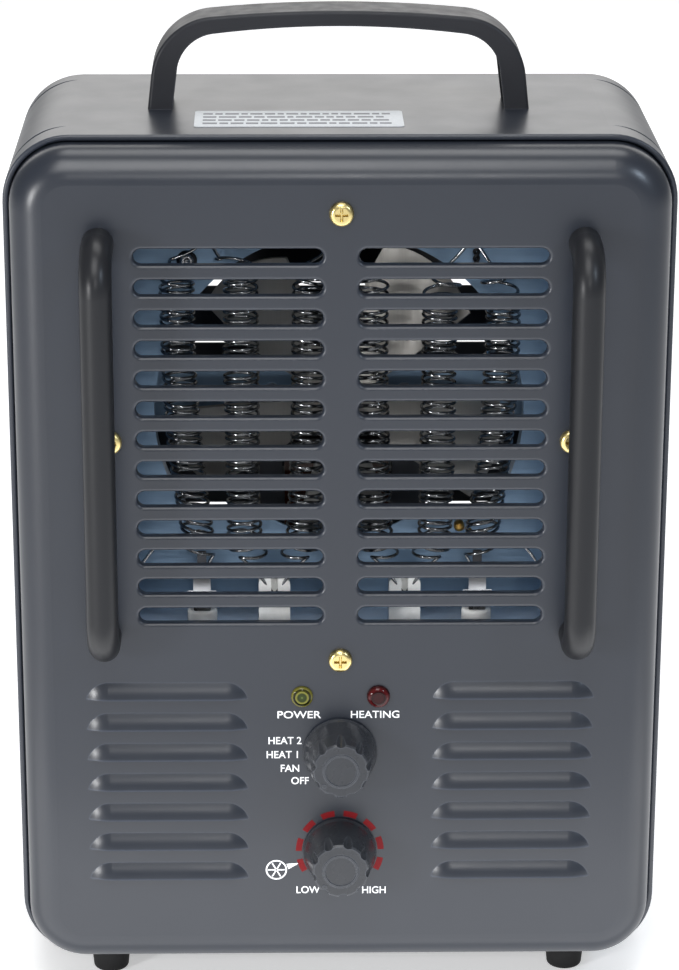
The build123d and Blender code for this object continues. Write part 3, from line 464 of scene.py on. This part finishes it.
def coil_points(index, hand):
    """Helix from the bottom to the top of one coil, leaning and drooping as its ends are pulled."""
    top_x, bottom_x = COIL_TOPS[index], COIL_BOTTOMS[index]
    head = coil_head_z + COIL_HEADS[index] * MM
    height = head - coil_base_z
    turns = height / TURN_PITCH
    outer = abs(top_x) > OUTER_COIL
    points = []
    for i in range(int(turns * STEPS) + 1):
        t = i / (turns * STEPS)
        lean = (1 - t) ** LEAN_CURVE
        cx = (top_x * (1 - lean) + bottom_x * lean) * MM
        angle = hand * math.tau * turns * t + math.pi / 2
        r = COIL_R * (1 + SWELL * math.sin(9 * t + top_x))
        tilt = WAVER * math.sin(3.1 * t * turns + index)
        if outer:
            tilt += PULL_TILT * lean ** 2 * math.cos(angle) * math.copysign(1, top_x)
        z = coil_base_z + height * t + tilt
        points.append(Vector((cx + r * math.cos(angle), coil_y + r * math.sin(angle), z)))
    return points


def open_turns(start, centre_x, hand, rise, turns, shift, shrink=0.95, ease=1.0):
    """Stretched turns that leave a coil's end, climbing by rise and moving sideways by shift.

    Their radius grows or shrinks to a share of the coil's, and ease above 1 climbs early.
    """
    first = math.atan2(start.y - coil_y, start.x - centre_x)
    count = int(turns * STEPS)
    points = []
    for i in range(1, count + 1):
        t = i / count
        angle = first + hand * math.tau * turns * t
        r = COIL_R * (1 + (shrink - 1) * t)
        cx = centre_x + shift * t ** 1.3
        z = start.z + rise * (1 - (1 - t) ** ease)
        points.append(Vector((cx + r * math.cos(angle), coil_y + r * math.sin(angle), z)))
    return points


def bowed(start, end, bow, steps=12):
    """Points of a bowed wire between two points."""
    start, end, bow = Vector(start), Vector(end), Vector(bow)
    return [start.lerp(end, i / steps) + bow * math.sin(math.pi * i / steps) for i in range(1, steps + 1)]


def element_run(index, hand):
    """One coil with its open turns and the ends that reach the hooks or the terminal post."""
    side = math.copysign(1, COIL_TOPS[index])
    coil = coil_points(index, hand)
    top_x, bottom_x = COIL_TOPS[index] * MM, COIL_BOTTOMS[index] * MM
    over_x = 0.0 if abs(top_x) < top_hook_x / 2 else side * top_hook_x
    over = Vector((over_x + math.copysign(top_loop_r, top_x - over_x), top_hook_y, top_hook_z))
    head = open_turns(coil[-1], top_x, hand, HEAD_RISE, HEAD_TURNS, (over_x - top_x) * 0.3)
    head += bowed(head[-1], over, (0, 0, -0.8 * MM))
    if abs(COIL_BOTTOMS[index]) > OUTER_COIL:
        under = Vector((side * post_x, coil_y, post_high.z - 0.6 * MM))
        foot = open_turns(coil[0], bottom_x, -hand, -POST_DROP, POST_TURNS, 0.0)
    else:
        off_hook = bottom_x - side * hook_x
        under = Vector((side * hook_x + math.copysign(hook_loop_r, off_hook), coil_y, hook_z))
        fall = OPEN_RING_Z - coil[0].z
        foot = open_turns(coil[0], bottom_x, -hand, fall, HOOK_TURNS, -0.2 * off_hook, shrink=1.1, ease=2.2)
    foot += bowed(foot[-1], under, (0, 0, 1.2 * MM))
    return list(reversed(foot)) + coil + head


def half_loop(name, x, y, z, reach, bulge):
    """Wire bent round a hook: a half turn, reach to each side of x and bulging up or down by bulge."""
    angles = [math.radians(-90 + 15 * i) for i in range(13)]
    loop = [Vector((x + reach * math.sin(a), y, z + bulge * math.cos(a))) for a in angles]
    return add_piece(wire_curve(name, loop, WIRE_R), "heater_case", WIRE)


for index in range(len(COIL_TOPS)):
    run = wire_curve(f"wound_coil_{index + 1}", element_run(index, 1 if index % 2 else -1), WIRE_R)
    add_piece(run, "heater_case", WIRE)
    if index == 0:
        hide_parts("heating_coils")
for number, x in enumerate((-top_hook_x, 0.0, top_hook_x)):
    half_loop(f"top_hook_loop_{number + 1}", x, top_hook_y, top_hook_z, top_loop_r, 1.2 * MM)
for number, side in enumerate((-1, 1)):
    half_loop(f"bottom_hook_loop_{number + 1}", side * hook_x, coil_y, hook_z, hook_loop_r, -hook_loop_r)


# ---------------------------------------------------------------- leads, tabs and small hardware in the duct
def revolved(name, profile, axis_at, segments=24):
    """Solid of revolution about a line along Y; profile is a list of (radius, y)."""
    mesh = bpy.data.meshes.new(name)
    bm = bmesh.new()
    tint_and_painted_light_rings = []
    for r, y in profile:
        if r == 0:
            tint_and_painted_light_rings.append([bm.verts.new((axis_at[0], y, axis_at[1]))])
            continue
        tint_and_painted_light_rings.append([
            bm.verts.new((axis_at[0] + r * math.cos(math.tau * k / segments), y,
                          axis_at[1] + r * math.sin(math.tau * k / segments)))
            for k in range(segments)
        ])
    for one, two in zip(tint_and_painted_light_rings, tint_and_painted_light_rings[1:]):
        for k in range(segments):
            j = (k + 1) % segments
            quad = [one[k % len(one)], one[j % len(one)], two[j % len(two)], two[k % len(two)]]
            corners = list(dict.fromkeys(quad))
            if len(corners) > 2:
                bm.faces.new(corners)
    bmesh.ops.recalc_face_normals(bm, faces=bm.faces)
    for face in bm.faces:
        face.smooth = True
    bm.to_mesh(mesh)
    bm.free()
    return bpy.data.objects.new(name, mesh)


def bevelled_plate(name, low, high, bevel):
    """Small metal plate with rounded edges."""
    mesh = bpy.data.meshes.new(name)
    bm = bmesh.new()
    bmesh.ops.create_cube(bm, size=1)
    for v in bm.verts:
        v.co = Vector((low[i] + (high[i] - low[i]) * (v.co[i] + 0.5) for i in range(3)))
    bmesh.ops.bevel(bm, geom=list(bm.edges), offset=bevel, segments=2, affect="EDGES")
    bm.to_mesh(mesh)
    bm.free()
    return bpy.data.objects.new(name, mesh)


def proud_of(y, profile):
    """Turns (radius, height) in mm into a profile that stands out towards the front from a face at y."""
    return [(r * MM, y - height * MM) for r, height in profile]


SCREW_AT = (-55.4 * MM, 280.0 * MM)
SCREW_PROFILE = ((0, 0.9), (0.7, 0.9), (0.9, 1.6), (2.0, 1.5), (2.6, 0.8), (2.7, 0.05), (0, 0.05))
WASHER_PROFILE = ((2.2, 0.45), (3.6, 0.4), (3.8, 0.02), (2.2, 0.02))
for name, profile, metal in (
    ("shroud_screw", SCREW_PROFILE, ZINC),
    ("shroud_screw_washer", WASHER_PROFILE, DARK_STEEL),
):
    add_piece(revolved(name, proud_of(shroud_front_y, profile), SCREW_AT), "heater_case", metal)

TWIST_X, TWIST_Y, TWIST_Z = 49.5 * MM, shroud_front_y - 2.2 * MM, 276 * MM
TWIST_R, TWIST_STEP, TWIST_RISE, TWIST_POINTS = 0.75 * MM, 0.42, 0.34 * MM, 58
SLEEVE_R = 0.62 * MM
for number, phase in enumerate((0, math.pi)):
    turns = [phase + i * TWIST_STEP for i in range(TWIST_POINTS)]
    strand = [
        Vector((TWIST_X + TWIST_R * math.cos(a), TWIST_Y + TWIST_R * math.sin(a), TWIST_Z + i * TWIST_RISE))
        for i, a in enumerate(turns)
    ]
    lead = wire_curve(f"fuse_lead_{number + 1}", strand, SLEEVE_R)
    add_piece(lead, "heater_case", SLEEVE)


def upright_plate(name, x, half_w, y_span, z_span, material):
    """Thin upright metal piece centred on x, with its spans in metres."""
    low, high = (x - half_w, y_span[0], z_span[0]), (x + half_w, y_span[1], z_span[1])
    return add_piece(bevelled_plate(name, low, high, 0.25 * MM), "heater_case", material)


for number, side in enumerate((-1, 1)):
    stay = [Vector((side * 73 * MM, coil_y - 5 * MM, 170.5 * MM))]
    stay += bowed(stay[0], (side * 63 * MM, coil_y - 1 * MM, 181 * MM), (0, 0, 0.8 * MM))
    lead = wire_curve(f"corner_lead_{number + 1}", stay, WIRE_R)
    add_piece(lead, "heater_case", BRIGHT_WIRE)
    upright_plate(f"terminal_tab_{number + 1}", side * post_x, 3.2 * MM,
                  (coil_y - 4.3 * MM, coil_y - 3.6 * MM),
                  (post_low.z + 6.2 * MM, post_high.z + 3.5 * MM), ZINC)
    upright_plate(f"terminal_arm_{number + 1}", side * post_x, 5.4 * MM,
                  (coil_y - 4.5 * MM, coil_y - 3.7 * MM),
                  (post_low.z + 11.6 * MM, post_low.z + 14.2 * MM), ZINC)
    upright_plate(f"terminal_strip_{number + 1}", side * post_x, 1.7 * MM,
                  (coil_y - 1.0 * MM, coil_y - 0.2 * MM),
                  (post_high.z + 1.0 * MM, OPEN_RING_Z + 1.0 * MM), DARK_STEEL)

CRIMPS = ((52.0, 187.5, 1.5), (44.5, 180.5, 2.0), (48.2, 178.0, 1.3))  # mm: x, z, radius
for number, (x, z, r) in enumerate(CRIMPS):
    profile = ((0, r * 0.5), (r * 0.6, r * 0.45), (r, 0), (r, -2.5), (r * 0.7, -3.2), (0, -3.2))
    crimp = revolved(f"brass_crimp_{number + 1}", proud_of(coil_y + 8.5 * MM, profile), (x * MM, z * MM))
    add_piece(crimp, "heater_case", BRASS)


# ---------------------------------------------------------------- printed legends
CAP = 2.95 * MM
CAP_SHARE = 0.73  # a capital's height as a share of the font's size
LEGEND_LIFT = 0.06 * MM


def legend(name, text, x, z, wide=0.95):
    """Generic control wording in plain capitals, printed on the panel."""
    curve = bpy.data.curves.new(name, "FONT")
    curve.body = text
    curve.size = CAP / CAP_SHARE
    curve.offset = CAP * 0.012
    curve.extrude = LEGEND_LIFT / 2
    curve.align_x = "CENTER"
    curve.align_y = "CENTER"
    curve.resolution_u = 4
    obj = bpy.data.objects.new(name, curve)
    obj.location = (x, FACE_Y - LEGEND_LIFT / 2, z)
    obj.rotation_euler = (math.pi / 2, 0, 0)
    obj.scale = (wide, 1, 1)
    return add_piece(obj, "heater_case", WHITE_INK)


sx, sz = selector_axis.x, selector_axis.z
dx, dz = dial_axis.x, dial_axis.z
legend("legend_power", "POWER", power_at.x - 1.2 * MM, power_at.z - 7.4 * MM, 1.16)
legend("legend_alert", "HEATING", caution_at.x - 1.2 * MM, caution_at.z - 7.4 * MM, 1.07)
legend("legend_heat_2", "HEAT 2", sx - 20.5 * MM, sz + 4.6 * MM)
legend("legend_heat_1", "HEAT 1", sx - 21.2 * MM, sz - 1.0 * MM)
legend("legend_fan", "FAN", sx - 18.6 * MM, sz - 6.5 * MM)
legend("legend_off", "OFF", sx - 14.9 * MM, sz - 11.5 * MM)
legend("legend_low", "LOW", dx - 12.0 * MM, dz - 16.0 * MM)
legend("legend_high", "HIGH", dx + 12.9 * MM, dz - 16.2 * MM)

DASH_IN, DASH_OUT = 14.2 * MM, 16.5 * MM
DASH_COUNT, DASH_FIRST, DASH_STEP, DASH_SPAN = 8, -19.5, 31.6, 19.0  # degrees round the dial


def arc(cx, cz, radius, start, end, steps=10):
    """Points (x, z) along an arc, in degrees from +X towards +Z."""
    angles = [math.radians(start + (end - start) * i / steps) for i in range(steps + 1)]
    return [(cx + radius * math.cos(a), cz + radius * math.sin(a)) for a in angles]


dashes = []
for i in range(DASH_COUNT):
    mid = DASH_FIRST + i * DASH_STEP
    a, b = mid - DASH_SPAN / 2, mid + DASH_SPAN / 2
    dashes.append(arc(dx, dz, DASH_OUT, a, b) + arc(dx, dz, DASH_IN, b, a))
heat_scale = flat_mesh("heat_scale_marks", dashes, FACE_Y, LEGEND_LIFT)
add_piece(heat_scale, "heater_case", RED_INK)


def ring(cx, cz, r_in, r_out):
    """Two half rings that make a circle."""
    return [
        arc(cx, cz, r_out, start, start + 180, 18) + arc(cx, cz, r_in, start + 180, start, 18)
        for start in (0, 180)
    ]


def bar_outline(cx, cz, length, width, angle):
    """Thin rectangle centred on a point."""
    ux, uz = math.cos(math.radians(angle)), math.sin(math.radians(angle))
    corners = [(i * length / 2, j * width / 2) for i, j in ((-1, -1), (1, -1), (1, 1), (-1, 1))]
    return [(cx + along * ux - across * uz, cz + along * uz + across * ux) for along, across in corners]


frost_x, frost_z = dx - 23.8 * MM, dz - 7.6 * MM
frost_r = 4.0 * MM
frost = ring(frost_x, frost_z, frost_r - 0.55 * MM, frost_r)
frost += [
    bar_outline(frost_x, frost_z, 2 * frost_r - 1.8 * MM, 0.5 * MM, angle) for angle in (0, 60, 120)
]
toward = math.atan2(dz - frost_z, dx - frost_x)
POINTER = ((-0.26, 0.5 * MM), (0.26, 0.5 * MM), (0.0, 5.2 * MM))  # turn, reach past the ring
frost.append([
    (frost_x + (frost_r + reach) * math.cos(toward + turn),
     frost_z + (frost_r + reach) * math.sin(toward + turn))
    for turn, reach in POINTER
])
frost_mark = flat_mesh("frost_mark", frost, FACE_Y, LEGEND_LIFT)
add_piece(frost_mark, "heater_case", WHITE_INK)


DASH_SEED = 7
DASH_WIDTHS = (2.0 * MM, 6.5 * MM)
DASH_GAP = 0.9 * MM


def plate_rules(name, low, high, rows):
    """Rows of plain grey dashes in place of wording, lying on a plate's top face."""
    dice = random.Random(DASH_SEED)
    mesh = bpy.data.meshes.new(name)
    bm = bmesh.new()
    row_pitch = (high.y - low.y) / (rows + 1)
    for row in range(rows):
        y = high.y - (row + 1) * row_pitch
        x = low.x + 3 * MM
        while x < high.x - 7 * MM:
            end = min(x + dice.uniform(*DASH_WIDTHS), high.x - 2.5 * MM)
            size = (end - x, row_pitch * 0.42, LEGEND_LIFT)
            place = Matrix.Translation((x + size[0] / 2, y, high.z + LEGEND_LIFT / 2))
            bmesh.ops.create_cube(bm, size=1, matrix=place @ Matrix.Diagonal((*size, 1)))
            x = end + DASH_GAP
    bm.to_mesh(mesh)
    bm.free()
    return bpy.data.objects.new(name, mesh)


rules = plate_rules("plate_rules", plate_low, plate_high, 4)
add_piece(rules, "heater_case", RULE_INK)

# ---------------------------------------------------------------- stage, light and camera
FLOOR_HALF = 9.0
FLOOR_GLOW = 0.42
WORLD_LIGHT = 0.25
floor_mesh = bpy.data.meshes.new("floor")
floor_corners = [(i * FLOOR_HALF, j * FLOOR_HALF, 0) for i, j in ((-1, -1), (1, -1), (1, 1), (-1, 1))]
floor_mesh.from_pydata(floor_corners, [], [(0, 1, 2, 3)])
floor = bpy.data.objects.new("floor", floor_mesh)
scene.collection.objects.link(floor)
floor_shader = Shader("pale_floor", srgb(248, 248, 249), 0.7)
floor_shader.bsdf.inputs["Emission Color"].default_value = (1, 1, 1, 1)
floor_shader.bsdf.inputs["Emission Strength"].default_value = FLOOR_GLOW
floor.data.materials.append(floor_shader.material)

world = bpy.data.worlds.new("studio")
scene.world = world
world.use_nodes = True
background = world.node_tree.nodes["Background"]
background.inputs["Color"].default_value = (0.96, 0.98, 1.0, 1.0)
background.inputs["Strength"].default_value = WORLD_LIGHT


def softbox(name, location, target, width, height, radiance, color=(1, 1, 1)):
    """Rectangular area light aimed at a point, given by how bright its face is."""
    light = bpy.data.lights.new(name, "AREA")
    light.shape = "RECTANGLE"
    light.size, light.size_y = width, height
    light.energy = radiance * math.pi * width * height
    light.color = color
    obj = bpy.data.objects.new(name, light)
    obj.location = location
    obj.rotation_euler = (Vector(target) - Vector(location)).to_track_quat("-Z", "Y").to_euler()
    obj.visible_camera = False
    scene.collection.objects.link(obj)
    return obj


aim = (0, 0, (case_low.z + case_high.z) / 2)
softbox("top_softbox", (-0.12, -0.72, 1.3), aim, 0.7, 0.75, 5.6)
softbox("overhead_softbox", (0.1, 0.35, 1.6), aim, 0.9, 0.6, 4)
softbox("rear_softbox", (0.0, 2.0, 1.15), (0, 0, 0.33), 3.0, 1.3, 1.6, (1.0, 0.985, 0.965))
softbox("left_softbox", (-0.95, -0.95, 0.36), aim, 0.2, 0.3, 44)
softbox("right_softbox", (0.9, -0.85, 1.0), aim, 0.2, 0.24, 30, (0.72, 0.85, 1.0))
softbox("front_softbox", (0.06, -1.5, 0.8), aim, 0.13, 0.13, 52)
softbox("low_softbox", (0.0, -0.14, 0.004), (0, -0.14, 1.0), 0.7, 0.16, 1.4)

CAMERA_AT = (-24.085, -1181.795, 256.58)  # mm, from the panel's face and the top of the case
PITCH, YAW, ROLL = 20.074, 1.151, 0.157  # degrees: down, to the right, tilt
FOCAL = 3440.1 / 970  # focal length, picture heights
CENTRE_LIFT = 617.0 / 970 - 0.5  # how far the optical axis lies from mid-picture, picture heights
camera_data = bpy.data.cameras.new("camera")
camera = bpy.data.objects.new("camera", camera_data)
scene.collection.objects.link(camera)
pitch, yaw, roll = (math.radians(a) for a in (PITCH, YAW, ROLL))
forward = Vector((math.sin(yaw) * math.cos(pitch), math.cos(yaw) * math.cos(pitch), -math.sin(pitch)))
level = Vector((math.cos(yaw), -math.sin(yaw), 0))
above = level.cross(forward)
right = math.cos(roll) * level + math.sin(roll) * above
up = -math.sin(roll) * level + math.cos(roll) * above
rotation = Matrix((right, up, -forward)).transposed()
place = Vector((CAMERA_AT[0] * MM, FACE_Y + CAMERA_AT[1] * MM, case_high.z + CAMERA_AT[2] * MM))
camera.matrix_world = Matrix.Translation(place) @ rotation.to_4x4()
camera_data.sensor_fit = "VERTICAL"
camera_data.sensor_height = 36.0
camera_data.lens = FOCAL * camera_data.sensor_height
camera_data.shift_y = CENTRE_LIFT
camera_data.clip_end = 60
scene.camera = camera
scene.view_settings.view_transform = "Standard"
